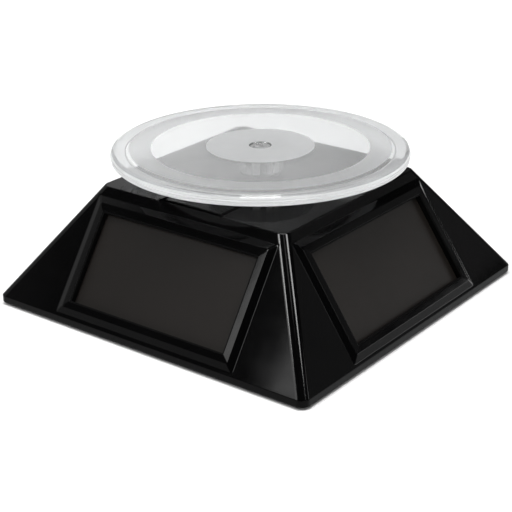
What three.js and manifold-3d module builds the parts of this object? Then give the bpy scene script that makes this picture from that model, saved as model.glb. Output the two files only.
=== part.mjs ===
// Solar turntable display stand.
// A black pyramid base with a solar panel in each face carries a clear round platter.
// Millimetres, +Z up. The origin is on the table, under the middle of the base.
// The front face looks along -Y and the right face along +X.

import * as THREE from 'three';
import { mergeVertices } from 'three/addons/utils/BufferGeometryUtils.js';
import Module from 'manifold-3d';

const wasm = await Module();
wasm.setup();

// ---------------------------------------------------------------- dimensions

// Base shell: outside
const SKIRT_BOTTOM = 0.6;
const SKIRT_TOP = 2.75;
const BASE_HALF = 55;
const TOP_HALF = 32.6;
const TOP_Z = 35.2;
const HIP_RADIUS = 2.6;
const EDGE_ROUND = 0.35;

// Base shell: inside
const WALL = 2;
const SLOPE = Math.atan2(TOP_Z - SKIRT_TOP, BASE_HALF - TOP_HALF);
const SLOPE_RUN = 1 / Math.tan(SLOPE);
const WALL_ACROSS = WALL / Math.sin(SLOPE);
const CEILING_Z = TOP_Z - WALL;
const CAVITY_HALF = BASE_HALF - WALL;
const CAVITY_RADIUS = 1;

// Raised frame round each panel: across the face, up the slope, and out of the face
const FRAME_RISE = 0.8;
const FRAME_ROOT = -0.8;
const FRAME_LIP = { half: 29.8, low: 2.9, high: 34.4 };
const FRAME_FOOT = { half: 31.8, low: 0.95, high: 36.5 };
const WINDOW = { half: 27.75, low: 4.7, high: 32.2 };
const POCKET = { half: 29.4, low: 3.0, high: 33.9, front: -0.85, back: -3.4 };
const PANEL = { half: 29.1, low: 3.3, high: 33.6, front: -0.95, back: -2.15 };

// Hatch, its opening, and the finger notch in front of it (up the slope and into the front face)
const HATCH = { half: 10.1, front: -30.95, back: -10.5, bottom: 33.1 };
const HATCH_OPENING = { half: 11.0, front: -31.5, back: -10.1, floor: 33.0 };
const NOTCH = { halfLow: 8.7, halfHigh: 11.1, low: 37.4, high: 39.5, depth: 1.1 };
const WELL_OUTER = { half: 12.2, front: -32.1, back: -8.9, bottom: 27.9 };
const WELL_INNER = { half: 8.5, front: -29, back: -12, bottom: 29.1 };

// Coin cell
const CELL = { radius: 8, y: -20.5, bottom: 29.6, top: 32.8 };

// Bottom cover, its screws and feet
const COVER = { half: 52.6, radius: 1.5, bottom: 0.9, top: 2.5 };
const FOOT = { at: 45.5, radius: 4.5, top: 1.7 };
const FOOT_RECESS = { radius: 4.75, top: 1.8 };
const COVER_SCREW = { at: 37, headRadius: 2.6, headTop: 1.8, shankRadius: 1.2, top: 10 };
const COVER_BOSS = { radius: 3, bottom: 3, top: 22, holeRadius: 1.35, holeTop: 11 };

// Gear train: a 12-tooth pinion drives a 48-tooth wheel three times over
const MODULE = 0.6;
const WHEEL_TEETH = 48;
const PINION_TEETH = 12;
const GEAR_DISTANCE = MODULE * (WHEEL_TEETH + PINION_TEETH) / 2;
const TOOTH_FILL = 0.78;
const SPINDLE_AT = [0, 0];
const IDLER_2_AT = [GEAR_DISTANCE * 0.5, GEAR_DISTANCE * Math.sqrt(0.75)];
const IDLER_1_AT = [-GEAR_DISTANCE * 0.5, GEAR_DISTANCE * Math.sqrt(0.75)];
const MOTOR_AT = [-GEAR_DISTANCE, 0];
const GEAR_LEVEL = { first: [16.5, 18.1], second: [19.1, 20.7], third: [21.9, 23.5] };
const AXLE = { radius: 1, bore: 1.09, bottom: 15.1, top: 25.4 };
const HUB_RADIUS = 2;
const GEAR_SPACE = { bottom: 16.3, top: 24.2 };

// Gearbox tray and lid
const TRAY = { xHalf: 27, yLow: -17, yHigh: 32.6, radius: 3, wall: 1.2 };
const TRAY_Z = { bottom: 14.8, floor: 16, top: 24.2 };
const LID_Z = { bottom: 24.5, top: 25.7 };
const GEARBOX_SCREW = { x: 23.4, yLow: -13.4, yHigh: 29, shankRadius: 1, headRadius: 2.2 };
const GEARBOX_SCREW_Z = { head: 13.2, seat: 14.6, top: 31 };
const PILLAR = { radius: 2.6, holeRadius: 1.2 };
const GEARBOX_BOSS = { radius: 2.6, bottom: 26, top: CEILING_Z + 0.4, holeRadius: 1.15, holeTop: 31.6 };

// Motor
const MOTOR = { radius: 10, bottom: 3.6, top: 14.3, noseRadius: 2.8, noseTop: 15.5 };
const MOTOR_SHAFT = { radius: 0.75, bottom: 6, top: 18.5 };
const MOTOR_BORE = { radius: 0.83, bottom: 5.6 };
const MOTOR_COLLAR = { inner: 10.25, outer: 11.5, bottom: 9.8 };

// Spindle, bush and washer
const SPINDLE = { pivotRadius: 1, radius: 2, driveRadius: 2.65 };
const SPINDLE_Z = { bottom: 15.1, shoulder: 16.3, drive: 37.2, top: 41.9 };
const BUSH = { radius: 4.3, flangeRadius: 6, bore: 2.08, bottom: 32.4, flangeLow: 35.3, top: 36 };
const BUSH_HOLE_RADIUS = 4.6;
const WASHER = { inner: 2.2, outer: 4.8, bottom: 36.05, top: 36.45 };

// Platter
const PLATTER = {
  radius: 43.2,
  top: 44.8,
  underside: 42.9,
  rimInner: 39.5,
  rimBottom: 42,
  stemRadius: 7,
  stemBottom: 36.6,
  socketRadius: 2.73,
  socketTop: 42.1,
  dishRadius: 3.3,
  dishDepth: 0.4,
};

// Circuit board and what stands on it
const BOARD = { x: [20, 44], y: [-34, -18], bottom: 5, top: 6.2 };
const BOARD_POST_RADIUS = 1.5;
const CAPACITOR = { at: [33, -29], radius: 3.5, bottom: 6.4, top: 16 };
const DIODE = { x: [36, 40], y: [-22.4, -20.4], bottom: 6.4, top: 8.2 };
const LEAD_RADIUS = 0.7;

// ----------------------------------------------------------------- materials

const MATERIALS = {
  blackPlastic: { color: '#0c0c0d', roughness: 0.3, metalness: 0 },
  blackCover: { color: '#121213', roughness: 0.55, metalness: 0 },
  panelGlass: { color: '#2e2c2b', roughness: 0.2, metalness: 0 },
  rubber: { color: '#1d1d1d', roughness: 0.85, metalness: 0 },
  steel: { color: '#b9bcc0', roughness: 0.3, metalness: 1 },
  brass: { color: '#c8a552', roughness: 0.3, metalness: 1 },
  nylon: { color: '#e9e6dc', roughness: 0.5, metalness: 0 },
  greyPlastic: { color: '#5b5e61', roughness: 0.5, metalness: 0 },
  clearPlastic: { color: '#e6ebec', roughness: 0.08, metalness: 0, transparent: true, opacity: 0.45 },
  circuitBoard: { color: '#1f5c35', roughness: 0.5, metalness: 0 },
  capacitorSleeve: { color: '#20242c', roughness: 0.4, metalness: 0 },
  leadRed: { color: '#a32420', roughness: 0.5, metalness: 0 },
};

// ------------------------------------------------------------------- helpers

// A closed body for joining and cutting, with its faces turned outwards.
function solid(geometry) {
  const bare = geometry.clone();
  for (const name of Object.keys(bare.attributes)) {
    if (name !== 'position') bare.deleteAttribute(name);
  }
  const merged = mergeVertices(bare, 1e-5);
  const triVerts = Uint32Array.from(merged.index.array);
  const vertProperties = Float32Array.from(merged.attributes.position.array);
  if (signedVolume(vertProperties, triVerts) < 0) triVerts.reverse();
  return new wasm.Manifold(new wasm.Mesh({ numProp: 3, vertProperties, triVerts }));
}

function signedVolume(points, triangles) {
  const corner = [new THREE.Vector3(), new THREE.Vector3(), new THREE.Vector3()];
  let volume = 0;
  for (let t = 0; t < triangles.length; t += 3) {
    corner.forEach((v, i) => v.fromArray(points, triangles[t + i] * 3));
    volume += corner[0].dot(corner[1].cross(corner[2])) / 6;
  }
  return volume;
}

function geometryOf(body) {
  const mesh = body.getMesh();
  const geometry = new THREE.BufferGeometry();
  geometry.setAttribute('position', new THREE.Float32BufferAttribute(mesh.vertProperties, 3));
  geometry.setIndex(Array.from(mesh.triVerts));
  const faceted = geometry.toNonIndexed();
  faceted.computeVertexNormals();
  return faceted;
}

function join(bodies) {
  return bodies.reduce((whole, body) => whole.add(body));
}

function cut(body, tools) {
  return tools.reduce((whole, tool) => whole.subtract(tool), body);
}

function box([x0, x1], [y0, y1], [z0, z1]) {
  const geometry = new THREE.BoxGeometry(x1 - x0, y1 - y0, z1 - z0);
  return solid(geometry.translate((x0 + x1) / 2, (y0 + y1) / 2, (z0 + z1) / 2));
}

function cylinder(radius, z0, z1, [x, y] = [0, 0], segments = 20) {
  const geometry = new THREE.CylinderGeometry(radius, radius, z1 - z0, segments);
  return solid(geometry.rotateX(Math.PI / 2).translate(x, y, (z0 + z1) / 2));
}

function ring(inner, outer, z0, z1, at = [0, 0], segments = 20) {
  return cylinder(outer, z0, z1, at, segments).subtract(cylinder(inner, z0 - 1, z1 + 1, at, segments));
}

// A turned body from [radius, height] pairs.
function turned(profile, [x, y] = [0, 0], segments = 20) {
  const points = profile.map(([radius, height]) => new THREE.Vector2(radius, height));
  const geometry = new THREE.LatheGeometry(points, segments);
  return solid(geometry.rotateX(Math.PI / 2).translate(x, y, 0));
}

function extruded(shape, z0, z1, curveSegments = 6) {
  const options = { depth: z1 - z0, bevelEnabled: false, curveSegments };
  return solid(new THREE.ExtrudeGeometry(shape, options).translate(0, 0, z0));
}

function roundedRectangle([x0, x1], [y0, y1], radius) {
  const shape = new THREE.Shape();
  shape.moveTo(x1, y0 + radius);
  shape.absarc(x1 - radius, y1 - radius, radius, 0, Math.PI / 2);
  shape.absarc(x0 + radius, y1 - radius, radius, Math.PI / 2, Math.PI);
  shape.absarc(x0 + radius, y0 + radius, radius, Math.PI, Math.PI * 1.5);
  shape.absarc(x1 - radius, y0 + radius, radius, Math.PI * 1.5, Math.PI * 2);
  return shape;
}

// A body skinned over a stack of square outlines with rounded corners.
function stackedSquares(levels, cornerSteps = 5) {
  const outline = ({ half, radius }) =>
    roundedRectangle([-half, half], [-half, half], radius).extractPoints(cornerSteps).shape;
  const rings = levels.map(outline);
  const count = Math.min(...rings.map((points) => points.length));
  const positions = [];
  rings.forEach((points, level) => {
    for (let i = 0; i < count; i += 1) positions.push(points[i].x, points[i].y, levels[level].z);
  });
  const last = (rings.length - 1) * count;
  const triangles = [];
  for (let i = 1; i < count - 1; i += 1) {
    triangles.push(0, i + 1, i);
    triangles.push(last, last + i, last + i + 1);
  }
  for (let level = 0; level < rings.length - 1; level += 1) {
    for (let i = 0; i < count; i += 1) {
      const next = (i + 1) % count;
      const low = level * count;
      const high = low + count;
      triangles.push(low + i, low + next, high + next);
      triangles.push(low + i, high + next, high + i);
    }
  }
  return closedMesh(positions, triangles);
}

// A six-sided body from four bottom corners and the four corners above them.
function block(bottom, top) {
  const sides = [0, 1, 2, 3].flatMap((i) => {
    const next = (i + 1) % 4;
    return [i, next, next + 4, i, next + 4, i + 4];
  });
  return closedMesh([...bottom, ...top].flat(), [0, 2, 1, 0, 3, 2, 4, 5, 6, 4, 6, 7, ...sides]);
}

function closedMesh(positions, triangles) {
  const geometry = new THREE.BufferGeometry();
  geometry.setAttribute('position', new THREE.Float32BufferAttribute(positions, 3));
  geometry.setIndex(triangles);
  return solid(geometry);
}

// A rectangle on a face: half width, low and high edge up the slope, height out of the face.
function rectangle({ half, low, high }, out) {
  return [[-half, low, out], [half, low, out], [half, high, out], [-half, high, out]];
}

// Turns face coordinates (across, up the slope, out) into the frame of face number 0 to 3,
// where 0 is the front and the others follow anticlockwise seen from above.
function onFace(body, face) {
  const across = new THREE.Vector3(1, 0, 0);
  const up = new THREE.Vector3(0, Math.cos(SLOPE), Math.sin(SLOPE));
  const out = new THREE.Vector3(0, -Math.sin(SLOPE), Math.cos(SLOPE));
  const matrix = new THREE.Matrix4().makeBasis(across, up, out).setPosition(0, -BASE_HALF, SKIRT_TOP);
  matrix.premultiply(new THREE.Matrix4().makeRotationZ(face * Math.PI / 2));
  return body.transform(matrix.elements);
}

function fourCorners(x, yLow, yHigh) {
  return [[-x, yLow], [x, yLow], [x, yHigh], [-x, yHigh]];
}

// ---------------------------------------------------------------------- base

function outerLevels() {
  const halfAt = (z) => BASE_HALF - (z - SKIRT_TOP) * SLOPE_RUN;
  const level = (z, half) => ({ z, half, radius: HIP_RADIUS });
  return [
    level(SKIRT_BOTTOM, BASE_HALF - EDGE_ROUND),
    level(SKIRT_BOTTOM + EDGE_ROUND, BASE_HALF),
    level(SKIRT_TOP - EDGE_ROUND, BASE_HALF),
    level(SKIRT_TOP, BASE_HALF - EDGE_ROUND),
    level(SKIRT_TOP + EDGE_ROUND, halfAt(SKIRT_TOP + EDGE_ROUND)),
    level(TOP_Z - EDGE_ROUND, halfAt(TOP_Z - EDGE_ROUND)),
    level(TOP_Z, TOP_HALF - EDGE_ROUND),
  ];
}

function cavityLevels() {
  const topHalf = BASE_HALF - WALL_ACROSS - (CEILING_Z - SKIRT_TOP) * SLOPE_RUN;
  const slopeHalf = BASE_HALF - WALL_ACROSS;
  return [
    { z: SKIRT_BOTTOM - 1, half: CAVITY_HALF, radius: CAVITY_RADIUS },
    { z: SKIRT_TOP - (CAVITY_HALF - slopeHalf) / SLOPE_RUN, half: CAVITY_HALF, radius: CAVITY_RADIUS },
    { z: CEILING_Z, half: topHalf, radius: CAVITY_RADIUS },
  ];
}

function faceFrame(face) {
  const foot = rectangle(FRAME_FOOT, 0);
  const root = rectangle(FRAME_FOOT, FRAME_ROOT);
  const lip = rectangle(FRAME_LIP, FRAME_RISE);
  return onFace(block(root, foot).add(block(foot, lip)), face);
}

function faceOpenings(face) {
  const pocket = block(rectangle(POCKET, POCKET.back), rectangle(POCKET, POCKET.front));
  const opening = block(rectangle(WINDOW, PANEL.back), rectangle(WINDOW, FRAME_RISE + 1));
  return onFace(pocket.add(opening), face);
}

// A shallow recess at the top of the front face, for a fingertip under the edge of the hatch.
function fingerNotch() {
  const { halfLow, halfHigh, low, high, depth } = NOTCH;
  const flare = (halfHigh - halfLow) / (high - low);
  const top = high + depth * 2;
  const halfTop = halfLow + flare * (top - low);
  const outline = (out) => [[-halfLow, low, out], [halfLow, low, out], [halfTop, top, out], [-halfTop, top, out]];
  return onFace(block(outline(-depth), outline(1)), 0);
}

function openBox({ half, front, back }, z0, z1) {
  return box([-half, half], [front, back], [z0, z1]);
}

function baseShell() {
  const coverBosses = fourCorners(COVER_SCREW.at, -COVER_SCREW.at, COVER_SCREW.at);
  const gearboxBosses = gearboxScrewPlaces();
  const faces = [0, 1, 2, 3];
  const skin = join([stackedSquares(outerLevels()), ...faces.map(faceFrame)]);
  const shell = cut(skin, [stackedSquares(cavityLevels()), ...faces.map(faceOpenings)]);
  const filled = join([
    shell,
    openBox(WELL_OUTER, WELL_OUTER.bottom, CEILING_Z + 0.4),
    ...coverBosses.map((at) => cylinder(COVER_BOSS.radius, COVER_BOSS.bottom, COVER_BOSS.top, at, 16)),
    ...gearboxBosses.map((at) => cylinder(GEARBOX_BOSS.radius, GEARBOX_BOSS.bottom, GEARBOX_BOSS.top, at, 16)),
  ]);
  return cut(filled, [
    openBox(WELL_INNER, WELL_INNER.bottom, TOP_Z + 1),
    openBox(HATCH_OPENING, HATCH_OPENING.floor, TOP_Z + 1),
    fingerNotch(),
    cylinder(BUSH_HOLE_RADIUS, CEILING_Z - 1, TOP_Z + 1),
    ...coverBosses.map((at) => cylinder(COVER_BOSS.holeRadius, 0, COVER_BOSS.holeTop, at, 12)),
    ...gearboxBosses.map((at) => cylinder(GEARBOX_BOSS.holeRadius, 20, GEARBOX_BOSS.holeTop, at, 12)),
  ]);
}

function solarPanel(face) {
  return onFace(block(rectangle(PANEL, PANEL.back), rectangle(PANEL, PANEL.front)), face);
}

function hatch() {
  return openBox(HATCH, HATCH.bottom, TOP_Z);
}

function bottomCover() {
  const { half, radius, bottom, top } = COVER;
  const plate = extruded(roundedRectangle([-half, half], [-half, half], radius), bottom, top, 4);
  const post = (at) => cylinder(BOARD_POST_RADIUS, top - 0.3, BOARD.bottom - 0.1, at, 12);
  const recess = (at) => cylinder(FOOT_RECESS.radius, 0, FOOT_RECESS.top, at);
  const headWell = (at) => cylinder(COVER_SCREW.headRadius + 0.3, 0, COVER_SCREW.headTop + 0.1, at, 16);
  const screwHole = (at) => cylinder(COVER_SCREW.shankRadius + 0.2, 0, top + 1, at, 12);
  const screws = fourCorners(COVER_SCREW.at, -COVER_SCREW.at, COVER_SCREW.at);
  return cut(join([plate, ...boardPosts().map(post)]), [
    ...fourCorners(FOOT.at, -FOOT.at, FOOT.at).map(recess),
    ...screws.map(headWell),
    ...screws.map(screwHole),
  ]);
}

function boardPosts() {
  const inset = 3;
  return [[BOARD.x[0] + inset, BOARD.y[0] + inset], [BOARD.x[1] - inset, BOARD.y[1] - inset]];
}

function rubberFoot(at) {
  const edge = 0.4;
  const { radius, top } = FOOT;
  return turned([[0, 0], [radius - edge, 0], [radius, edge], [radius, top], [0, top]], at);
}

function coverScrew(at) {
  const { headRadius, headTop, shankRadius, top } = COVER_SCREW;
  const low = COVER.bottom + 0.1;
  const tip = top - 1;
  return turned(
    [[0, low], [headRadius, low], [headRadius, headTop], [shankRadius, headTop], [shankRadius, tip], [0, top]],
    at,
    12,
  );
}

// --------------------------------------------------------------------- gears

// A gear outline with straight-flanked teeth. One tooth is centred on the angle `phase`.
function gearOutline(teeth, [x, y], phase) {
  const pitchRadius = MODULE * teeth / 2;
  const pressure = Math.tan(THREE.MathUtils.degToRad(20));
  const tipRadius = pitchRadius + MODULE * 0.9;
  const rootRadius = pitchRadius - MODULE * 1.2;
  const halfTooth = Math.PI * MODULE / 4 * TOOTH_FILL;
  const tipAngle = (halfTooth - MODULE * 0.9 * pressure) / tipRadius;
  const rootAngle = (halfTooth + MODULE * 1.0 * pressure) / rootRadius;
  const points = [];
  for (let tooth = 0; tooth < teeth; tooth += 1) {
    const middle = phase + tooth * Math.PI * 2 / teeth;
    for (const [radius, offset] of [
      [rootRadius, -rootAngle], [tipRadius, -tipAngle], [tipRadius, tipAngle], [rootRadius, rootAngle],
    ]) {
      const angle = middle + offset;
      points.push(new THREE.Vector2(x + radius * Math.cos(angle), y + radius * Math.sin(angle)));
    }
  }
  return new THREE.Shape(points);
}

function direction(from, to) {
  return Math.atan2(to[1] - from[1], to[0] - from[0]);
}

// A wheel points a tooth at its pinion, and the pinion points a gap back at it.
function wheel(at, pinionAt, [z0, z1]) {
  return extruded(gearOutline(WHEEL_TEETH, at, direction(at, pinionAt)), z0, z1);
}

function pinion(at, wheelAt, z0, z1) {
  const halfStep = Math.PI / PINION_TEETH;
  return extruded(gearOutline(PINION_TEETH, at, direction(at, wheelAt) + halfStep), z0, z1);
}

function idlerGear1() {
  const at = IDLER_1_AT;
  const level = GEAR_LEVEL.first;
  const body = join([
    wheel(at, MOTOR_AT, level),
    pinion(at, IDLER_2_AT, level[1] - 0.3, GEAR_LEVEL.second[1] + 0.4),
    cylinder(HUB_RADIUS, level[0], GEAR_SPACE.top, at, 16),
  ]);
  return body.subtract(cylinder(AXLE.bore, 10, 30, at, 20));
}

function idlerGear2() {
  const at = IDLER_2_AT;
  const level = GEAR_LEVEL.second;
  const body = join([
    wheel(at, IDLER_1_AT, level),
    pinion(at, SPINDLE_AT, level[1] - 0.3, GEAR_LEVEL.third[1] + 0.4),
    cylinder(HUB_RADIUS, GEAR_SPACE.bottom, GEAR_SPACE.top, at, 16),
  ]);
  return body.subtract(cylinder(AXLE.bore, 10, 30, at, 20));
}

function outputGear() {
  const level = GEAR_LEVEL.third;
  const body = wheel(SPINDLE_AT, IDLER_2_AT, level).add(cylinder(4, level[0] - 0.7, level[1] + 0.6));
  return body.subtract(cylinder(SPINDLE.radius + 0.08, 10, 30));
}

function motorPinion() {
  const [low, high] = GEAR_LEVEL.first;
  const body = pinion(MOTOR_AT, IDLER_1_AT, low - 0.2, high + 0.2);
  return body.subtract(cylinder(MOTOR_SHAFT.radius + 0.08, 10, 30, MOTOR_AT, 16));
}

function axle(at) {
  return cylinder(AXLE.radius, AXLE.bottom, AXLE.top, at, 20);
}

// ------------------------------------------------------------------- gearbox

function gearboxScrewPlaces() {
  return fourCorners(GEARBOX_SCREW.x, GEARBOX_SCREW.yLow, GEARBOX_SCREW.yHigh);
}

function trayOutline(inset) {
  const { xHalf, yLow, yHigh, radius } = TRAY;
  const half = xHalf - inset;
  return roundedRectangle([-half, half], [yLow + inset, yHigh - inset], radius - inset);
}

function gearboxTray() {
  const { bottom, floor, top } = TRAY_Z;
  const walls = extruded(trayOutline(0), bottom, top, 4)
    .subtract(extruded(trayOutline(TRAY.wall), floor, top + 1, 4));
  const { inner, outer } = MOTOR_COLLAR;
  const body = join([
    walls,
    ring(inner, outer, MOTOR_COLLAR.bottom, bottom + 0.3, MOTOR_AT, 24),
    ...gearboxScrewPlaces().map((at) => cylinder(PILLAR.radius, floor - 0.3, top, at, 16)),
  ]);
  return cut(body, [
    cylinder(MOTOR.noseRadius + 0.3, bottom - 1, floor + 1, MOTOR_AT),
    cylinder(SPINDLE.pivotRadius + 0.08, bottom - 1, floor + 1, SPINDLE_AT, 16),
    ...[IDLER_1_AT, IDLER_2_AT].map((at) => cylinder(AXLE.bore, bottom - 1, floor + 1, at, 20)),
    ...gearboxScrewPlaces().map((at) => cylinder(PILLAR.holeRadius, bottom - 1, top + 1, at, 12)),
  ]);
}

function gearboxLid() {
  const { bottom, top } = LID_Z;
  return cut(extruded(trayOutline(0), bottom, top, 4), [
    cylinder(SPINDLE.radius + 0.3, bottom - 1, top + 1),
    ...[IDLER_1_AT, IDLER_2_AT].map((at) => cylinder(AXLE.bore, bottom - 1, top + 1, at, 20)),
    ...gearboxScrewPlaces().map((at) => cylinder(PILLAR.holeRadius, bottom - 1, top + 1, at, 12)),
  ]);
}

function gearboxScrew(at) {
  const { headRadius, shankRadius } = GEARBOX_SCREW;
  const { head, seat, top } = GEARBOX_SCREW_Z;
  return turned(
    [[0, head], [headRadius - 0.4, head], [headRadius, head + 0.5], [headRadius, seat],
      [shankRadius, seat], [shankRadius, top - 0.8], [0, top]],
    at,
    12,
  );
}

function motor() {
  const { radius, bottom, top, noseRadius, noseTop } = MOTOR;
  const bevel = 0.6;
  const bore = MOTOR_BORE;
  return turned(
    [[0, bottom], [radius - bevel, bottom], [radius, bottom + bevel], [radius, top - bevel],
      [radius - bevel, top], [noseRadius, top], [noseRadius, noseTop], [bore.radius, noseTop],
      [bore.radius, bore.bottom], [0, bore.bottom]],
    MOTOR_AT,
    24,
  );
}

function motorShaft() {
  return cylinder(MOTOR_SHAFT.radius, MOTOR_SHAFT.bottom, MOTOR_SHAFT.top, MOTOR_AT, 16);
}

// -------------------------------------------------------- spindle and platter

function spindle() {
  const { pivotRadius, radius, driveRadius } = SPINDLE;
  const { bottom, shoulder, drive, top } = SPINDLE_Z;
  return turned([
    [0, bottom], [pivotRadius, bottom], [pivotRadius, shoulder], [radius, shoulder],
    [radius, drive], [driveRadius, drive + 0.3], [driveRadius, top - 0.5], [driveRadius - 0.5, top], [0, top],
  ]);
}

function spindleBush() {
  const { radius, flangeRadius, bore, bottom, flangeLow, top } = BUSH;
  return turned([
    [bore, bottom], [radius, bottom], [radius, flangeLow], [flangeRadius, flangeLow],
    [flangeRadius, top - 0.3], [flangeRadius - 0.3, top], [bore, top], [bore, bottom],
  ], [0, 0], 24);
}

function thrustWasher() {
  return ring(WASHER.inner, WASHER.outer, WASHER.bottom, WASHER.top);
}

function platter() {
  const p = PLATTER;
  return turned([
    [0, p.socketTop], [p.socketRadius, p.socketTop], [p.socketRadius, p.stemBottom],
    [p.stemRadius, p.stemBottom], [p.stemRadius, p.underside - 0.6], [p.stemRadius + 0.6, p.underside],
    [p.rimInner, p.underside], [p.rimInner + 0.4, p.rimBottom], [p.radius - 0.5, p.rimBottom],
    [p.radius, p.rimBottom + 0.5], [p.radius, p.top - 1.4], [p.radius - 0.5, p.top - 0.5],
    [p.radius - 1.4, p.top], [p.dishRadius, p.top], [p.dishRadius - 0.3, p.top - p.dishDepth],
    [0, p.top - p.dishDepth],
  ], [0, 0], 64);
}

// --------------------------------------------------------------- electric set

function coinCell() {
  const { radius, y, bottom, top } = CELL;
  const edge = 0.3;
  return turned(
    [[0, bottom], [radius - 1.2, bottom], [radius - 1, bottom + edge], [radius, bottom + edge],
      [radius, top - edge], [radius - edge, top], [0, top]],
    [0, y],
    28,
  );
}

function cellContactBottom() {
  return box([-2.5, 2.5], [CELL.y - 7, CELL.y + 7], [WELL_INNER.bottom + 0.1, WELL_INNER.bottom + 0.4]);
}

function cellContactSide() {
  const inside = WELL_INNER.half;
  return box([inside - 0.3, inside - 0.1], [CELL.y - 4, CELL.y + 4], [CELL.bottom + 0.2, CELL.top - 0.2]);
}

function circuitBoard() {
  return box(BOARD.x, BOARD.y, [BOARD.bottom, BOARD.top]);
}

function capacitor() {
  const { at, radius, bottom, top } = CAPACITOR;
  const edge = 0.5;
  return turned([[0, bottom], [radius - edge, bottom], [radius, bottom + edge], [radius, top - edge],
    [radius - edge, top], [0, top]], at, 20);
}

function diode() {
  return box(DIODE.x, DIODE.y, [DIODE.bottom, DIODE.top]);
}

// A round lead through the given points.
function lead(points, steps = 11) {
  const path = new THREE.CatmullRomCurve3(points.map((point) => new THREE.Vector3(...point)));
  const section = new THREE.Shape();
  section.absarc(0, 0, LEAD_RADIUS, 0, Math.PI * 2);
  const options = { steps, extrudePath: path, curveSegments: 4 };
  return solid(new THREE.ExtrudeGeometry(section, options));
}

const LEADS = {
  panel_lead_front: [[12, -42.2, 16.4], [12, -39.5, 12], [17, -36, 8.5], [22, -31, 7.4]],
  panel_lead_right: [[42.2, -4, 16.4], [40, -9, 11], [38.5, -14, 8.4], [37, -18.6, 7.4]],
  panel_lead_back: [[20, 42.2, 16.4], [25, 39, 8], [34, 22, 5], [35, 0, 6], [33, -12, 8], [32, -19, 7.4]],
  panel_lead_left: [[-42.2, 8, 16.4], [-38, 2, 8], [-35, -20, 4.6], [-20, -34, 4.6], [8, -34, 6], [21.5, -27, 7.4]],
  motor_lead: [[-10, -10.4, 4.4], [-4, -14, 4.6], [8, -21, 6.4], [21.5, -24, 7.4]],
  cell_lead: [[0, -26, 26.9], [8, -29, 20], [17, -25, 12], [24, -20.5, 7.4]],
};

// ------------------------------------------------------------------ assembly

function piece(name, body, material) {
  const mesh = new THREE.Mesh(geometryOf(body), new THREE.MeshStandardMaterial(MATERIALS[material]));
  mesh.name = name;
  return mesh;
}

function basePieces() {
  const sides = ['front', 'right', 'back', 'left'];
  const corners = ['front_left', 'front_right', 'back_right', 'back_left'];
  const feet = fourCorners(FOOT.at, -FOOT.at, FOOT.at);
  const screws = fourCorners(COVER_SCREW.at, -COVER_SCREW.at, COVER_SCREW.at);
  return [
    piece('base_shell', baseShell(), 'blackPlastic'),
    piece('bottom_cover', bottomCover(), 'blackCover'),
    piece('hatch', hatch(), 'blackPlastic'),
    ...sides.map((side, face) => piece(`solar_panel_${side}`, solarPanel(face), 'panelGlass')),
    ...corners.map((corner, i) => piece(`foot_${corner}`, rubberFoot(feet[i]), 'rubber')),
    ...corners.map((corner, i) => piece(`cover_screw_${corner}`, coverScrew(screws[i]), 'steel')),
  ];
}

function drivePieces() {
  const corners = ['front_left', 'front_right', 'back_right', 'back_left'];
  const screws = gearboxScrewPlaces();
  return [
    piece('gearbox_tray', gearboxTray(), 'greyPlastic'),
    piece('gearbox_lid', gearboxLid(), 'greyPlastic'),
    ...corners.map((corner, i) => piece(`gearbox_screw_${corner}`, gearboxScrew(screws[i]), 'steel')),
    piece('motor', motor(), 'steel'),
    piece('motor_shaft', motorShaft(), 'steel'),
    piece('motor_pinion', motorPinion(), 'brass'),
    piece('idler_axle_1', axle(IDLER_1_AT), 'steel'),
    piece('idler_axle_2', axle(IDLER_2_AT), 'steel'),
    piece('idler_gear_1', idlerGear1(), 'nylon'),
    piece('idler_gear_2', idlerGear2(), 'nylon'),
    piece('output_gear', outputGear(), 'nylon'),
    piece('spindle', spindle(), 'steel'),
    piece('spindle_bush', spindleBush(), 'blackCover'),
    piece('thrust_washer', thrustWasher(), 'nylon'),
    piece('platter', platter(), 'clearPlastic'),
  ];
}

function electricPieces() {
  return [
    piece('coin_cell', coinCell(), 'steel'),
    piece('cell_contact_bottom', cellContactBottom(), 'brass'),
    piece('cell_contact_side', cellContactSide(), 'brass'),
    piece('circuit_board', circuitBoard(), 'circuitBoard'),
    piece('storage_capacitor', capacitor(), 'capacitorSleeve'),
    piece('diode', diode(), 'capacitorSleeve'),
    ...Object.entries(LEADS).map(([name, points]) => piece(name, lead(points), 'leadRed')),
  ];
}

function turntable() {
  const group = new THREE.Group();
  group.name = 'turntable_display_stand';
  group.add(...basePieces(), ...drivePieces(), ...electricPieces());
  return group;
}

export default turntable();
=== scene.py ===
"""Solar turntable display stand: the detailed pieces, materials, light and camera.

Sizes are in millimetres in the tables below and metres in Blender.
The front face looks along -Y, the right face along +X, and +Z is up.
"""
import math

import bmesh
import bpy
from mathutils import Matrix, Vector


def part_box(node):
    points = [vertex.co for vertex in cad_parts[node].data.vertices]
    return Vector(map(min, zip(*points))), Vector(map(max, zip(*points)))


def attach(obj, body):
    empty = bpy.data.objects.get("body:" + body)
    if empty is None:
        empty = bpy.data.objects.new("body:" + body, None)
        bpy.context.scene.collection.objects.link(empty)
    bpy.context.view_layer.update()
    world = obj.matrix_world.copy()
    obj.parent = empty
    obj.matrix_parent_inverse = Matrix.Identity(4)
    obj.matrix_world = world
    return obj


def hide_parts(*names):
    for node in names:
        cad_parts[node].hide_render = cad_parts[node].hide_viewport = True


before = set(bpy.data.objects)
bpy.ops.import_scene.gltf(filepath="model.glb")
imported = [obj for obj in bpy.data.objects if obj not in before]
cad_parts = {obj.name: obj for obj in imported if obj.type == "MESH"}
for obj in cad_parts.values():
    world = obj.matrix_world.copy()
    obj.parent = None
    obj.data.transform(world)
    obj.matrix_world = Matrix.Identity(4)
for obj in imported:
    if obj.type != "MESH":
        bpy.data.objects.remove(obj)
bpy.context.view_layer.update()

MM = 0.001

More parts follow.
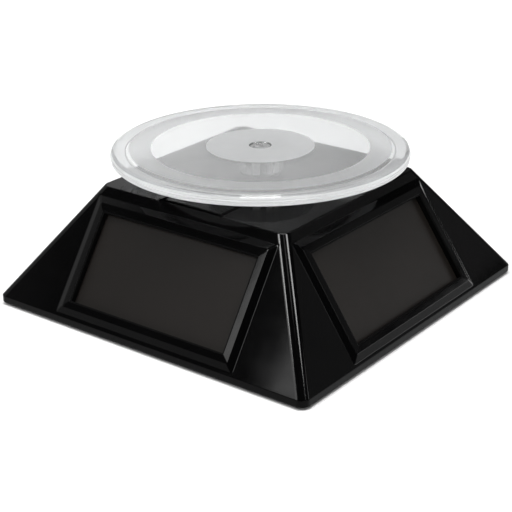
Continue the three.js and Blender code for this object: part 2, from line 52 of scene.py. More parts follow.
# ------------------------------------------------------------------ sizes

# Base shell
SKIRT_BOTTOM = 0.6
SKIRT_TOP = 2.75
BASE_HALF = 55.0
TOP_HALF = 32.6
TOP_Z = 35.2
WALL = 2.0
SLOPE = math.atan2(TOP_Z - SKIRT_TOP, BASE_HALF - TOP_HALF)
OUTER_FILLETS = (0.35, 0.5, 0.5)
TOP_RING = 6.0
HIP_RADIUS = 2.6
HIP_STEPS = 10
CAVITY_RADIUS = 2.0
SKIRT_LEDGE = 0.4
SKIRT_MARGIN = 0.1
SHELL_SHARP = 28.0

# Raised frame round each panel: rectangles as half width, low edge and high edge up the slope
WINDOW = (27.75, 4.7, 32.2)
FRAME_LIP = (29.8, 2.9, 34.4)
FRAME_FOOT = (31.8, 0.95, 36.5)
FRAME_RISE = 0.8
LIP_CROWN = 0.085
FRAME_FILLETS = (0.9, 0.8, 0.08, 0.0, 0.1)
HEM_WIDTH = 0.45
HEM_LIFT = 0.004
HEM_BURIED = 0.05
HEM_CORNER = 0.8
WINDOW_CORNER = 0.25
CORNER_GROWTH = 0.45
GLASS_DEPTH = 0.94
BACK_WIDTH = 1.2
BACK_CORNER = 0.5

# Painted shade strip inside each lip, matt black, standing in for the lip's shadow on the glass: its
# width, and how far its outer and inner edges lie below the lip's crown
LIP_SHADE_WIDTH = 0.42
LIP_SHADE_OUTER_DROP = 0.14
LIP_SHADE_INNER_DROP = 0.2
LIP_SHADE_MARGIN = 0.02

# Frame walls whose normal's height is under this are satin, not gloss
DOWNWARD = 0.35

# Openings: half width, front, back and floor of the hatch's; the finger notch up and across the face
HATCH_OPENING = (11.0, -31.5, -10.1, 33.0)
NOTCH = {"half_low": 8.7, "half_high": 11.1, "low": 37.4, "high": 39.5, "depth": 1.1}
CUT_MARGIN = 1.0
WINDOW_CUT = (-4.0, 1.5)

# Places in the material lists of the shell, the frames and the platter
SATIN_ZONE, LIP_SHADE_ZONE = 1, 2
FROST_ZONE, CENTRE_ZONE, RIM_PAINTED_LIGHT_ZONE, STEM_ZONE = 1, 2, 3, 4


def face_matrix(face):
    """From (across, up the slope, out of the face) to the frame.

    Face 0 is the front, 1 the right, 2 the back and 3 the left.
    """
    c, s = math.cos(SLOPE), math.sin(SLOPE)
    basis = Matrix(((1, 0, 0, 0), (0, c, -s, -BASE_HALF), (0, s, c, SKIRT_TOP), (0, 0, 0, 1)))
    return Matrix.Rotation(face * math.pi / 2, 4, "Z") @ basis


# ---------------------------------------------------------------- helpers

WELD_DISTANCE = 1e-7
NEARLY_STRAIGHT = 1e-3
AXIS_RADIUS = 1e-4


def new_object(name, verts, faces, body, material, smooth_angle=35.0):
    """A mesh object from points in millimetres, smooth but for edges sharper than the angle."""
    mesh = bpy.data.meshes.new(name)
    mesh.from_pydata([tuple(c * MM for c in v) for v in verts], [], faces)
    obj = bpy.data.objects.new(name, mesh)
    bpy.context.scene.collection.objects.link(obj)
    clean(obj, smooth_angle)
    if material:
        mesh.materials.append(material)
    if body:
        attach(obj, body)
    return obj


def clean(obj, smooth_angle):
    """Faces turned outwards, smooth shading, and sharp edges marked."""
    work = bmesh.new()
    work.from_mesh(obj.data)
    bmesh.ops.remove_doubles(work, verts=work.verts, dist=WELD_DISTANCE)
    bmesh.ops.recalc_face_normals(work, faces=work.faces)
    work.to_mesh(obj.data)
    work.free()
    obj.data.shade_smooth()
    obj.data.set_sharp_from_angle(angle=math.radians(smooth_angle))


def weigh_normals(obj):
    """Flat faces stay flat up to their rounded edges."""
    modifier = obj.modifiers.new("weigh_normals", "WEIGHTED_NORMAL")
    modifier.keep_sharp = True
    modifier.weight = 90


def round_edges(obj, width, segments, angle):
    """Rounds every edge that turns by more than the angle."""
    modifier = obj.modifiers.new("edge_round", "BEVEL")
    modifier.width = width * MM
    modifier.segments = segments
    modifier.limit_method = "ANGLE"
    modifier.angle_limit = math.radians(angle)
    weigh_normals(obj)


def apply_modifiers(obj):
    """Replaces the mesh with what its modifiers make of it."""
    depsgraph = bpy.context.evaluated_depsgraph_get()
    made = bpy.data.meshes.new_from_object(obj.evaluated_get(depsgraph))
    obj.modifiers.clear()
    obj.data = made


def fillet(points, radii, steps):
    """A polyline with each inner corner rounded to its radius."""
    out = [Vector(points[0])]
    for i in range(1, len(points) - 1):
        before, at, after = (Vector(points[k]) for k in (i - 1, i, i + 1))
        radius = radii[i - 1]
        a, b = (before - at).normalized(), (after - at).normalized()
        angle = a.angle(b)
        if radius <= 0 or angle > math.pi - NEARLY_STRAIGHT:
            out.append(at)
            continue
        reach = radius / math.tan(angle / 2)
        centre = at + (a + b).normalized() * (radius / math.sin(angle / 2))
        start, end = at + a * reach - centre, at + b * reach - centre
        turn = start.angle(end)
        for k in range(steps + 1):
            t = k / steps
            w0 = math.sin((1 - t) * turn) / math.sin(turn)
            w1 = math.sin(t * turn) / math.sin(turn)
            out.append(centre + start * w0 + end * w1)
    out.append(Vector(points[-1]))
    return out


def rounded_outline(x0, x1, y0, y1, radius, steps):
    """Points round a rectangle with rounded corners, anticlockwise."""
    corners = [(x1 - radius, y0 + radius, -90), (x1 - radius, y1 - radius, 0),
               (x0 + radius, y1 - radius, 90), (x0 + radius, y0 + radius, 180)]
    points = []
    for cx, cy, start in corners:
        for k in range(steps + 1):
            a = math.radians(start + 90 * k / steps)
            points.append((cx + radius * math.cos(a), cy + radius * math.sin(a)))
    return points


def skin(rings, loop=False):
    """Vertices and faces over a stack of rings of equal length, with closed ends or joined in a loop."""
    count = len(rings[0])
    verts = [p for ring in rings for p in ring]
    faces = []
    pairs = len(rings) if loop else len(rings) - 1
    for level in range(pairs):
        low, high = level * count, (level + 1) % len(rings) * count
        for i in range(count):
            j = (i + 1) % count
            faces.append((low + i, low + j, high + j, high + i))
    if not loop:
        faces.append(tuple(range(count))[::-1])
        faces.append(tuple(range((len(rings) - 1) * count, len(rings) * count)))
    return verts, faces


def turned(profile, segments):
    """A body of revolution from (radius, height) pairs.

    The profile starts and ends on the axis, or closes on itself.
    """
    turns = [2 * math.pi * k / segments for k in range(segments)]
    rings = []
    for radius, height in profile:
        radius = max(radius, AXIS_RADIUS)
        rings.append([(radius * math.cos(a), radius * math.sin(a), height) for a in turns])
    return skin(rings, loop=profile[0][0] > 0)


def box_mesh(x, y, z):
    """A plain box between pairs of limits, used only to cut with."""
    return skin([[(x[0], y[0], h), (x[1], y[0], h), (x[1], y[1], h), (x[0], y[1], h)] for h in z])


def cut(obj, cutters):
    """Takes the cutters out of the object and removes them."""
    for cutter in cutters:
        modifier = obj.modifiers.new("cut", "BOOLEAN")
        modifier.object = cutter
        modifier.operation = "DIFFERENCE"
        modifier.solver = "EXACT"
    apply_modifiers(obj)
    for cutter in cutters:
        bpy.data.objects.remove(cutter)


# -------------------------------------------------------------- materials

DRIFT_SCALE = 60.0
GLOSS_SCALE = DRIFT_SCALE * 3.1
FROST_GRAIN = 900.0


def principled(name, **values):
    """A material, its node tree and its Principled node with the given socket values."""
    material = bpy.data.materials.new(name)
    material.use_nodes = True
    tree = material.node_tree
    shader = tree.nodes["Principled BSDF"]
    for key, value in values.items():
        shader.inputs[key.replace("_", " ")].default_value = value
    return material, tree, shader


def object_noise(tree, scale, detail=4.0, roughness=0.55, stretch=(1, 1, 1)):
    """A noise texture in object space, so that it moves with the piece."""
    coordinate = tree.nodes.new("ShaderNodeTexCoord")
    mapping = tree.nodes.new("ShaderNodeMapping")
    mapping.inputs["Scale"].default_value = stretch
    noise = tree.nodes.new("ShaderNodeTexNoise")
    noise.inputs["Scale"].default_value = scale
    noise.inputs["Detail"].default_value = detail
    noise.inputs["Roughness"].default_value = roughness
    tree.links.new(coordinate.outputs["Object"], mapping.inputs["Vector"])
    tree.links.new(mapping.outputs["Vector"], noise.inputs["Vector"])
    return noise.outputs["Fac"]


def ramp(tree, factor, stops):
    """A colour ramp from (position, grey or colour) stops."""
    node = tree.nodes.new("ShaderNodeValToRGB")
    elements = node.color_ramp.elements
    while len(elements) < len(stops):
        elements.new(0.5)
    for element, (position, value) in zip(elements, stops):
        element.position = position
        colour = (value, value, value) if isinstance(value, (int, float)) else value
        element.color = (*colour, 1.0)
    tree.links.new(factor, node.inputs["Fac"])
    return node.outputs["Color"]


def vary(tree, shader, socket, factor, stops):
    """Drives a socket from a noise through a ramp."""
    tree.links.new(ramp(tree, factor, stops), shader.inputs[socket])


def bump(tree, shader, height, strength, distance):
    """Fine relief, with its depth in metres."""
    node = tree.nodes.new("ShaderNodeBump")
    node.inputs["Strength"].default_value = strength
    node.inputs["Distance"].default_value = distance
    tree.links.new(height, node.inputs["Height"])
    tree.links.new(node.outputs["Normal"], shader.inputs["Normal"])


def moulded(name, colours, rough, grain, depth, specular=0.5):
    """Moulded plastic: slight colour drift, uneven gloss and a fine surface texture."""
    material, tree, shader = principled(name, IOR=1.49, Specular_IOR_Level=specular)
    dark, light = colours
    vary(tree, shader, "Base Color", object_noise(tree, DRIFT_SCALE), [(0.3, dark), (0.7, light)])
    gloss = object_noise(tree, GLOSS_SCALE, 6.0)
    vary(tree, shader, "Roughness", gloss, [(0.3, rough[0]), (0.72, rough[1])])
    bump(tree, shader, object_noise(tree, grain, 2.0), 0.25, depth)
    return material


def metal(name, dark, light, rough):
    """Metal with fine turned or drawn streaks along Z."""
    material, tree, shader = principled(name, Metallic=1.0)
    vary(tree, shader, "Base Color", object_noise(tree, 90.0), [(0.3, dark), (0.7, light)])
    streaks = object_noise(tree, 700.0, 3.0, 0.6, (1, 1, 0.05))
    vary(tree, shader, "Roughness", streaks, [(0.25, rough[0]), (0.75, rough[1])])
    bump(tree, shader, streaks, 0.15, 0.00002)
    return material


def solar_glass():
    """Thin-film cells behind glass: warm dark grey that drifts slightly in tone."""
    material, tree, shader = principled(
        "solar_glass", IOR=1.5, Specular_IOR_Level=0.2, Coat_Weight=0.35, Coat_Roughness=0.06,
        Coat_IOR=1.5)
    drift = object_noise(tree, 38.0, 3.0)
    tones = [(0.25, (0.0068, 0.0054, 0.0044)), (0.75, (0.0088, 0.0070, 0.0058))]
    vary(tree, shader, "Base Color", drift, tones)
    vary(tree, shader, "Roughness", object_noise(tree, 240.0, 5.0), [(0.3, 0.42), (0.7, 0.5)])
    bump(tree, shader, object_noise(tree, 30.0, 1.0), 0.05, 0.0001)
    return material


def clear(name, transmission, rough, tint, frost=0.0):
    """Clear moulded plastic with a little haze; frosted zones scatter more and pass less."""
    material, tree, shader = principled(
        name, IOR=1.49, Specular_IOR_Level=0.3, Transmission_Weight=transmission)
    drift = object_noise(tree, 55.0, 3.0)
    vary(tree, shader, "Base Color", drift, [(0.3, tint[0]), (0.7, tint[1])])
    gloss = object_noise(tree, 300.0, 4.0)
    vary(tree, shader, "Roughness", gloss, [(0.3, rough[0]), (0.7, rough[1])])
    if frost > 0:
        bump(tree, shader, object_noise(tree, FROST_GRAIN, 3.0), frost, 0.00005)
    return material


def stem_painted_highlights():
    """The stem of the disc: grey clear plastic with pale upright streaks that are painted highlights."""
    material, tree, shader = principled("clear_stem_painted_highlights", IOR=1.49, Roughness=0.03)
    streaks = object_noise(tree, 430.0, 1.0, 0.5, (1, 1, 0.01))
    # Painted highlights: where the noise runs high the stem turns pale and less clear, in upright
    # streaks standing in for the lights' reflections
    vary(tree, shader, "Transmission Weight", streaks, [(0.54, 0.96), (0.60, 0.35)])
    vary(tree, shader, "Base Color", streaks, [(0.54, 0.40), (0.60, 0.95)])
    return material


JET_TONES = ((0.0006, 0.0006, 0.0007), (0.0011, 0.0011, 0.0012))
# Near black for the strip of painted shade inside each lip
LIP_SHADE_TONES = ((0.0008, 0.0008, 0.0008), (0.0014, 0.0014, 0.0014))
COVER_TONES = ((0.010, 0.010, 0.0105), (0.016, 0.016, 0.0165))
RUBBER_TONES = ((0.014, 0.014, 0.014), (0.024, 0.024, 0.024))
NYLON_TONES = ((0.70, 0.68, 0.62), (0.80, 0.78, 0.72))
HOUSING_TONES = ((0.10, 0.105, 0.11), (0.13, 0.135, 0.14))
BOARD_TONES = ((0.012, 0.085, 0.035), (0.02, 0.12, 0.05))
SLEEVE_TONES = ((0.012, 0.012, 0.015), (0.02, 0.02, 0.025))
LEAD_TONES = ((0.28, 0.014, 0.012), (0.36, 0.022, 0.018))
CLEAR_TINT = ((0.88, 0.89, 0.895), (0.91, 0.92, 0.925))
# Painted light: paler tint for the rim, standing in for light carried through the clear disc to its edge
RIM_PAINTED_LIGHT_TINT = ((0.94, 0.95, 0.955), (0.965, 0.97, 0.975))
FROST_TINT = ((0.95, 0.96, 0.965), (0.97, 0.98, 0.985))
CENTRE_TINT = ((0.69, 0.70, 0.705), (0.73, 0.74, 0.745))

BLACK = moulded("black_gloss_plastic", JET_TONES, (0.07, 0.11), 2600.0, 0.000006, 0.25)
SATIN = moulded("black_satin_plastic", JET_TONES, (0.16, 0.24), 2600.0, 0.00001, 0.06)
# Painted shade: matt black for the strip inside each lip, in place of the shadow the lip casts on the
# glass
LIP_SHADE = moulded("painted_lip_shade", LIP_SHADE_TONES, (0.6, 0.7), 1900.0, 0.00002, 0.06)
COVER = moulded("black_matt_plastic", COVER_TONES, (0.42, 0.55), 3800.0, 0.00004)
RUBBER = moulded("foot_rubber", RUBBER_TONES, (0.78, 0.92), 1900.0, 0.00008)
NYLON = moulded("white_nylon", NYLON_TONES, (0.40, 0.55), 2400.0, 0.00002)
HOUSING = moulded("grey_housing", HOUSING_TONES, (0.45, 0.6), 2600.0, 0.00003)
BOARD = moulded("circuit_board", BOARD_TONES, (0.3, 0.45), 900.0, 0.00003)
SLEEVE = moulded("component_black", SLEEVE_TONES, (0.25, 0.4), 1500.0, 0.00002)
LEAD = moulded("lead_sleeve", LEAD_TONES, (0.35, 0.5), 1800.0, 0.00002)
STEEL = metal("bright_steel", (0.50, 0.51, 0.53), (0.62, 0.63, 0.65), (0.22, 0.38))
GROUND_STEEL = metal("ground_steel", (0.62, 0.63, 0.65), (0.76, 0.77, 0.79), (0.42, 0.56))
BRASS = metal("brass", (0.58, 0.40, 0.14), (0.68, 0.48, 0.18), (0.2, 0.36))
PANEL = solar_glass()
CLEAR = clear("clear_plastic", 0.82, (0.02, 0.05), CLEAR_TINT)
STEM_PAINTED_HIGHLIGHTS = stem_painted_highlights()
# Painted light on the rim: less clear and paler than the disc, in place of the light the clear plastic
# carries
RIM_PAINTED_LIGHT = clear("rim_painted_light", 0.46, (0.04, 0.08), RIM_PAINTED_LIGHT_TINT)
FROST = clear("frosted_ring", 0.77, (0.32, 0.42), FROST_TINT, 0.4)
CENTRE = clear("frosted_centre", 0.48, (0.36, 0.48), CENTRE_TINT, 0.4)

# ------------------------------------------------------------- base shell

def shell_profile():
    """(half width, height) from the inner skirt edge, up the outside, to the top plate."""
    points = [(BASE_HALF - WALL, SKIRT_BOTTOM), (BASE_HALF, SKIRT_BOTTOM), (BASE_HALF, SKIRT_TOP),
              (TOP_HALF, TOP_Z), (TOP_HALF - TOP_RING, TOP_Z)]
    return fillet(points, OUTER_FILLETS, 4)


def shell_rings():
    """Square rings over the whole shell, from the cavity's ceiling round to the top plate."""
    outside = [(h, z, min(HIP_RADIUS, h)) for h, z in shell_profile()]
    across = WALL / math.sin(SLOPE)
    ceiling = TOP_Z - WALL
    inner_top = BASE_HALF - across - (ceiling - SKIRT_TOP) / math.tan(SLOPE)
    inner_bottom = BASE_HALF - WALL - SKIRT_LEDGE
    inside = [(inner_top, ceiling, CAVITY_RADIUS), (inner_bottom, SKIRT_TOP, CAVITY_RADIUS)]
    rings = []
    for half, z, radius in inside + outside:
        outline = rounded_outline(-half, half, -half, half, radius, HIP_STEPS)
        rings.append([(x, y, z) for x, y in outline])
    return rings


def on_face(verts, face):
    """Points given across, up and out of a face, moved to the frame."""
    move = face_matrix(face)
    return [tuple(move @ Vector(v)) for v in verts]


def face_prism(name, face, corners, outs):
    """A block to cut with: corners across and up a face, between two distances out of it."""
    verts, faces = skin([[(x, up, out) for x, up in corners] for out in outs])
    return new_object(name, on_face(verts, face), faces, None, None)


def notch_cutter():
    """The finger recess, wider towards the top of the front face."""
    n = NOTCH
    narrow, low = n["half_low"], n["low"]
    top = n["high"] + n["depth"] * 2
    wide = narrow + (n["half_high"] - narrow) * (top - low) / (n["high"] - low)
    corners = [(-narrow, low), (narrow, low), (wide, top), (-wide, top)]
    return face_prism("notch_cutter", 0, corners, (-n["depth"], CUT_MARGIN))


def window_cutter(face):
    """A block a little larger than the window; the frame round it covers the cut edge."""
    half, low, high = WINDOW[0] + CUT_MARGIN, WINDOW[1] - CUT_MARGIN, WINDOW[2] + CUT_MARGIN
    corners = [(-half, low), (half, low), (half, high), (-half, high)]
    return face_prism(f"window_cutter_{face}", face, corners, WINDOW_CUT)


def base_shell():
    """The hollow pyramid with its windows, hatch opening and finger notch."""
    verts, faces = skin(shell_rings())
    shell = new_object("base_shell_moulding", verts, faces, None, None)
    half, front, back, floor_z = HATCH_OPENING
    verts, faces = box_mesh((-half, half), (front, back), (floor_z, TOP_Z + CUT_MARGIN))
    opening = new_object("opening_cutter", verts, faces, None, None)
    cut(shell, [window_cutter(face) for face in range(4)])
    cut(shell, [opening, notch_cutter()])
    clean(shell, SHELL_SHARP)
    round_edges(shell, 0.18, 2, 50)
    shell.data.materials.append(BLACK)
    shell.data.materials.append(SATIN)
    for polygon in shell.data.polygons:
        if polygon.center[2] < (SKIRT_TOP + SKIRT_MARGIN) * MM:
            polygon.material_index = SATIN_ZONE
    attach(shell, "base")
    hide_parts("base_shell")


def rectangle_ring(rect, out, radius):
    """A rounded rectangle on a face, at a distance out of it."""
    half, low, high = rect
    return [(x, up, out) for x, up in rounded_outline(-half, half, low, high, radius, 5)]


def between(a, b, t):
    """The rectangle a share t of the way from one to the other."""
    return tuple(p + (q - p) * t for p, q in zip(a, b))


def frame_outline(half):
    """The rectangle of the frame section at this half width, from the gasket to outside the foot."""
    if half >= FRAME_FOOT[0]:
        grow = half - FRAME_FOOT[0]
        return (half, FRAME_FOOT[1] - grow, FRAME_FOOT[2] + grow)
    if half < WINDOW[0]:
        shrink = WINDOW[0] - half
        return (half, WINDOW[1] + shrink, WINDOW[2] - shrink)
    if half >= FRAME_LIP[0]:
        reach = (half - FRAME_LIP[0]) / (FRAME_FOOT[0] - FRAME_LIP[0])
        return between(FRAME_LIP, FRAME_FOOT, reach)
    return between(WINDOW, FRAME_LIP, (half - WINDOW[0]) / (FRAME_LIP[0] - WINDOW[0]))


def face_frame(face, name):
    """The raised frame round one panel: sloped outer wall, lip, and a matt black strip of painted shade
    down to the glass, standing in for the lip's shadow.
    """
    foot, lip, inner = FRAME_FOOT[0], FRAME_LIP[0], WINDOW[0]
    crown = FRAME_RISE + LIP_CROWN
    # The last steps of the section are the strip of painted shade, sloping in and down to the glass
    section = [(foot + HEM_WIDTH, HEM_LIFT), (foot, HEM_LIFT), (lip, FRAME_RISE), (inner, crown),
               (inner, crown - LIP_SHADE_OUTER_DROP), (inner - LIP_SHADE_WIDTH, crown - LIP_SHADE_INNER_DROP),
               (inner - LIP_SHADE_WIDTH, -GLASS_DEPTH)]
    points = fillet([(x, 0, z) for x, z in section], FRAME_FILLETS, 5)
    rings = [rectangle_ring(frame_outline(foot + HEM_WIDTH), -HEM_BURIED, HEM_CORNER)]
    for point in points:
        outer = (point.x - inner) / (foot - inner)
        corner = WINDOW_CORNER + CORNER_GROWTH * max(outer, 0.0)
        rings.append(rectangle_ring(frame_outline(point.x), point.z, corner))
    wide = (inner + BACK_WIDTH, WINDOW[1] - BACK_WIDTH, WINDOW[2] + BACK_WIDTH)
    rings.append(rectangle_ring(wide, -GLASS_DEPTH, BACK_CORNER))
    verts, faces = skin(rings, loop=True)
    piece = new_object(f"panel_frame_{name}", on_face(verts, face), faces, "base", BLACK, 40.0)
    piece.data.materials.append(SATIN)
    piece.data.materials.append(LIP_SHADE)
    to_face = face_matrix(face).inverted()
    m = LIP_SHADE_MARGIN
    for polygon in piece.data.polygons:
        across, up, _ = to_face @ (polygon.center / MM)
        # Faces inside the lip's edge get the painted shade
        if abs(across) < inner - m and WINDOW[1] + m < up < WINDOW[2] - m:
            polygon.material_index = LIP_SHADE_ZONE
        elif polygon.normal[2] < DOWNWARD:
            polygon.material_index = SATIN_ZONE
    weigh_normals(piece)
    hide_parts("base_shell")


SIDES = ("front", "right", "back", "left")
base_shell()
for number, side in enumerate(SIDES):
    face_frame(number, side)

# ------------------------------------------------------------------ hatch

def hatch():
    """The hatch cover, with rounded edges."""
    low, high = (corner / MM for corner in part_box("hatch"))
    bottom = [(x, y, low.z) for x, y in rounded_outline(low.x, high.x, low.y, high.y, 0.5, 5)]
    verts, faces = skin([bottom, [(x, y, high.z) for x, y, _ in bottom]])
    piece = new_object("hatch_cover", verts, faces, None, BLACK)
    round_edges(piece, 0.4, 3, 60)
    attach(piece, "hatch")
    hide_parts("hatch")


hatch()

# ---------------------------------------------------------------- platter

PLATTER_SEGMENTS = 192
DISC_THICKNESS = 1.9
DIMPLE = (3.0, 0.4)
CENTRE_DISC = (3.3, 15.7)
FROSTED_RING = (31.6, 37.9)
SOCKET_RADIUS = 2.73
SOCKET_ROOF = 0.8
STEM_RADIUS = 7.0
STEM_CHAMFER = 0.3
STEM_FILLET = 0.15
RIM_DEPTH = 2.8
RIM_INNER = (38.7, 39.1)
RIM_WALL = 38.8
RIM_SKIN = 0.45
ZONE_MARGIN = 0.05

# The rim's outer wall, with two fine grooves, as (in from the edge, up from the rim's bottom)
RIM_WALL_STEPS = (
    (0.4, 0.0), (0.1, 0.3), (0.1, 0.7), (0.35, 0.8), (0.35, 0.95), (0.0, 1.05), (0.0, 1.45),
    (0.3, 1.55), (0.3, 1.7), (0.1, 1.8))

# The rounded top of the rim, as (in from the edge, down from the top)
RIM_TOP_STEPS = ((0.35, 0.5), (1.4, 0.0))


def platter_profile(stem_bottom, top, radius):
    """(radius, height) from the roof of the socket, down the stem, and out round the rim to the top."""
    under = top - DISC_THICKNESS
    bottom = top - RIM_DEPTH
    roof = under - SOCKET_ROOF
    profile = [
        (0.0, roof), (SOCKET_RADIUS, roof), (SOCKET_RADIUS, stem_bottom),
        (STEM_RADIUS - STEM_CHAMFER, stem_bottom), (STEM_RADIUS, stem_bottom + STEM_CHAMFER),
        (STEM_RADIUS, under - STEM_FILLET), (STEM_RADIUS + STEM_FILLET, under),
        (RIM_INNER[0], under), (RIM_INNER[1], bottom)]
    profile += [(radius - inward, bottom + up) for inward, up in RIM_WALL_STEPS]
    profile += [(radius - inward, top - down) for inward, down in RIM_TOP_STEPS]
    profile += [(FROSTED_RING[1], top), (FROSTED_RING[0], top), (CENTRE_DISC[1], top),
                (CENTRE_DISC[0], top), (DIMPLE[0], top - DIMPLE[1]), (0.0, top - DIMPLE[1])]
    return profile


def platter():
    """The clear turned disc, with a frosted ring, a frosted centre, a stepped rim and a stem; the rim is
    painted paler for the light carried through the clear plastic.
    """
    low, high = (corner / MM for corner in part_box("platter"))
    top, radius = high.z, high.x
    under = top - DISC_THICKNESS
    verts, faces = turned(platter_profile(low.z, top, radius), PLATTER_SEGMENTS)
    piece = new_object("platter_moulding", verts, faces, None, CLEAR, 25.0)
    for material in (FROST, CENTRE, RIM_PAINTED_LIGHT, STEM_PAINTED_HIGHLIGHTS):
        piece.data.materials.append(material)
    for polygon in piece.data.polygons:
        away = math.hypot(*polygon.center[:2]) / MM
        height = polygon.center[2] / MM
        on_top = height > top - ZONE_MARGIN
        # The rim's outer skin and the ring under it get the painted light
        if away > radius - RIM_SKIN or (away > RIM_WALL and height < under):
            polygon.material_index = RIM_PAINTED_LIGHT_ZONE
        elif on_top and FROSTED_RING[0] < away < FROSTED_RING[1]:
            polygon.material_index = FROST_ZONE
        elif on_top and CENTRE_DISC[0] < away < CENTRE_DISC[1]:
            polygon.material_index = CENTRE_ZONE
        # The stem under the disc gets the material with painted highlights
        elif height < under - ZONE_MARGIN and away < STEM_RADIUS + STEM_CHAMFER:
            polygon.material_index = STEM_ZONE
    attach(piece, "platter")
    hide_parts("platter")


platter()

# -------------------------------------------------------- bush and washer

TURNED_SEGMENTS = 72
BUSH_BORE = 2.08
BUSH_BODY = 4.3
BUSH_FLANGE = 0.7
BUSH_CHAMFER = (0.6, 0.3)
BUSH_EDGE = 0.3
WASHER_BORE = 2.2
WASHER_EDGE = 0.12


def node_size(node):
    """Outer radius, bottom and top of a round CAD piece on the spindle axis."""
    low, high = (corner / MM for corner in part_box(node))
    return high.x, low.z, high.z


def turned_piece(name, node, profile, material):
    """A turned piece on the spindle axis that stays with the base."""
    verts, faces = turned(profile, TURNED_SEGMENTS)
    piece = new_object(name, verts, faces, None, material, 25.0)
    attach(piece, "base")
    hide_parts(node)


def spindle_bush():
    """A flanged plain bearing, rounded at the edge of its flange and chamfered at its bore."""
    radius, bottom, top = node_size("spindle_bush")
    flange = top - BUSH_FLANGE
    wide, deep = BUSH_CHAMFER
    edge = fillet([(radius, 0, flange), (radius, 0, top), (BUSH_BORE + wide, 0, top)], [BUSH_EDGE], 5)
    profile = [(BUSH_BORE, top - deep), (BUSH_BORE, bottom), (BUSH_BODY, bottom), (BUSH_BODY, flange)]
    profile += [(point.x, point.z) for point in edge]
    turned_piece("spindle_bush_turned", "spindle_bush", profile, COVER)


def thrust_washer():
    """A flat washer between the bush and the stem, with its outer edges taken off."""
    radius, bottom, top = node_size("thrust_washer")
    e = WASHER_EDGE
    profile = [(WASHER_BORE, top), (WASHER_BORE, bottom), (radius - e, bottom), (radius, bottom + e),
               (radius, top - e), (radius - e, top)]
    turned_piece("thrust_washer_turned", "thrust_washer", profile, NYLON)


spindle_bush()
thrust_washer()

# ------------------------------------------------- finishes on CAD pieces

FINISHES = {
    "bottom_cover": COVER, "spindle": GROUND_STEEL, "output_gear": NYLON, "idler_gear_1": NYLON,
    "idler_gear_2": NYLON, "idler_axle_1": STEEL, "idler_axle_2": STEEL, "gearbox_tray": HOUSING,
    "gearbox_lid": HOUSING, "motor": STEEL, "motor_shaft": STEEL, "motor_pinion": BRASS,
    "coin_cell": STEEL, "cell_contact_bottom": BRASS, "cell_contact_side": BRASS,
    "circuit_board": BOARD, "storage_capacitor": SLEEVE, "diode": SLEEVE,
}
FAMILY_FINISHES = {
    "solar_panel": PANEL, "foot_": RUBBER, "cover_screw": STEEL, "gearbox_screw": STEEL,
}


def finish_for(node):
    """The material of a CAD piece; those that are replaced get black, which isn't seen."""
    if node in FINISHES:
        return FINISHES[node]
    for start, material in FAMILY_FINISHES.items():
        if node.startswith(start):
            return material
    return LEAD if "lead" in node else BLACK


for node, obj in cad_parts.items():
    obj.data.materials.clear()
    obj.data.materials.append(finish_for(node))

# --------------------------------------------------- floor, light, camera

FLOOR_HALF = 6.0
LIGHT_DISTANCE = 1.0
LIGHT_AIM = Vector((0, 0, 0.03))
SUN_POWER = 2.8
SUN_ANGLE = 40

# Name, azimuth, elevation, width, height (metres) and power
SOFTBOXES = (
    ("left_softbox", -20, 48, 0.16, 0.20, 1.9),
    ("right_softbox", 95, 54, 0.16, 0.20, 1.9),
    ("top_softbox", 50, 62, 0.09, 0.09, 0.06),
    ("left_card", -24.2, 36, 0.27, 0.30, 0.92),
    ("right_low_card", 142, 5.5, 0.60, 0.14, 0.65),
    ("right_card", 119, 27, 0.10, 0.14, 0.12),
    ("right_fill", 141, 18, 0.38, 0.20, 0.035),
    ("front_softbox", 58, 12, 0.40, 0.16, 2.2),
)

# The world's glow: where it is centred, and its grey by how directly a ray points there
GLOW_AZIMUTH = 262
GLOW = ((0.0, 0.02), (0.58, 0.06), (0.61, 0.15), (0.645, 0.44), (0.685, 0.52), (0.715, 0.68),
        (0.76, 0.42), (0.88, 0.35))

LENS = 94.60
SENSOR = 36.0
CLIP = (0.01, 20.0)
CAMERA_AZIMUTH = 37.52
CAMERA_ELEVATION = 22.82
CAMERA_ROLL = -0.47
CAMERA_DISTANCE = 401.8
CAMERA_TARGET = (-1.20, -0.92, 10.05)


def floor():
    """A pale matt paper floor."""
    mesh = bpy.data.meshes.new("floor")
    size = FLOOR_HALF
    corners = [(-size, -size, 0), (size, -size, 0), (size, size, 0), (-size, size, 0)]
    mesh.from_pydata(corners, [], [(0, 1, 2, 3)])
    obj = bpy.data.objects.new("floor", mesh)
    bpy.context.scene.collection.objects.link(obj)
    material, tree, shader = principled("floor_paper", Roughness=0.9, Specular_IOR_Level=0.0)
    tones = [(0.3, (0.93, 0.93, 0.93)), (0.7, (0.95, 0.95, 0.95))]
    vary(tree, shader, "Base Color", object_noise(tree, 6.0), tones)
    mesh.materials.append(material)


def direction(azimuth, elevation):
    """A unit vector. Azimuth 0 is in front and 90 to the right."""
    a, e = math.radians(azimuth), math.radians(elevation)
    return Vector((math.sin(a) * math.cos(e), -math.cos(a) * math.cos(e), math.sin(e)))


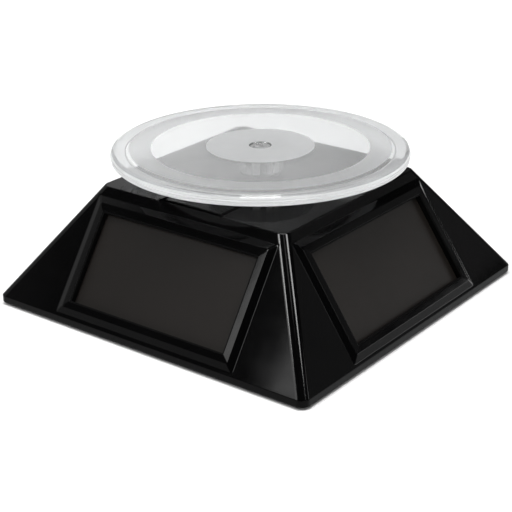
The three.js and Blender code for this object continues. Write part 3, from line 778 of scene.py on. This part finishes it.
def softbox(name, azimuth, elevation, width, height, power):
    """A soft area light that looks at the object."""
    data = bpy.data.lights.new(name, "AREA")
    data.shape = "RECTANGLE"
    data.size, data.size_y = width, height
    data.energy = power
    obj = bpy.data.objects.new(name, data)
    out = direction(azimuth, elevation)
    obj.location = out * LIGHT_DISTANCE + LIGHT_AIM
    obj.rotation_mode = "QUATERNION"
    obj.rotation_quaternion = out.to_track_quat("Z", "Y")
    bpy.context.scene.collection.objects.link(obj)


def overhead():
    """A wide soft sun straight above."""
    data = bpy.data.lights.new("overhead", "SUN")
    data.energy = SUN_POWER
    data.angle = math.radians(SUN_ANGLE)
    obj = bpy.data.objects.new("overhead", data)
    bpy.context.scene.collection.objects.link(obj)


def surroundings():
    """A dim studio with a pale glow low on the left and behind."""
    world = bpy.data.worlds.new("studio")
    bpy.context.scene.world = world
    world.use_nodes = True
    tree = world.node_tree
    background = tree.nodes["Background"]
    coordinate = tree.nodes.new("ShaderNodeTexCoord")
    dot = tree.nodes.new("ShaderNodeVectorMath")
    dot.operation = "DOT_PRODUCT"
    dot.inputs[1].default_value = direction(GLOW_AZIMUTH, 0)
    tree.links.new(coordinate.outputs["Generated"], dot.inputs[0])
    tree.links.new(ramp(tree, dot.outputs["Value"], GLOW), background.inputs["Color"])


def camera():
    """At the photograph's viewing angle, with a slight roll."""
    data = bpy.data.cameras.new("camera")
    data.lens = LENS
    data.sensor_width = SENSOR
    data.clip_start, data.clip_end = CLIP
    obj = bpy.data.objects.new("camera", data)
    back = direction(CAMERA_AZIMUTH, CAMERA_ELEVATION)
    obj.location = Vector(CAMERA_TARGET) * MM + back * CAMERA_DISTANCE * MM
    obj.rotation_mode = "QUATERNION"
    roll = Matrix.Rotation(math.radians(CAMERA_ROLL), 4, "Z").to_quaternion()
    obj.rotation_quaternion = back.to_track_quat("Z", "Y") @ roll
    bpy.context.scene.collection.objects.link(obj)
    bpy.context.scene.camera = obj


bpy.context.scene.view_settings.view_transform = "Standard"
floor()
overhead()
for light in SOFTBOXES:
    softbox(*light)
surroundings()
camera()
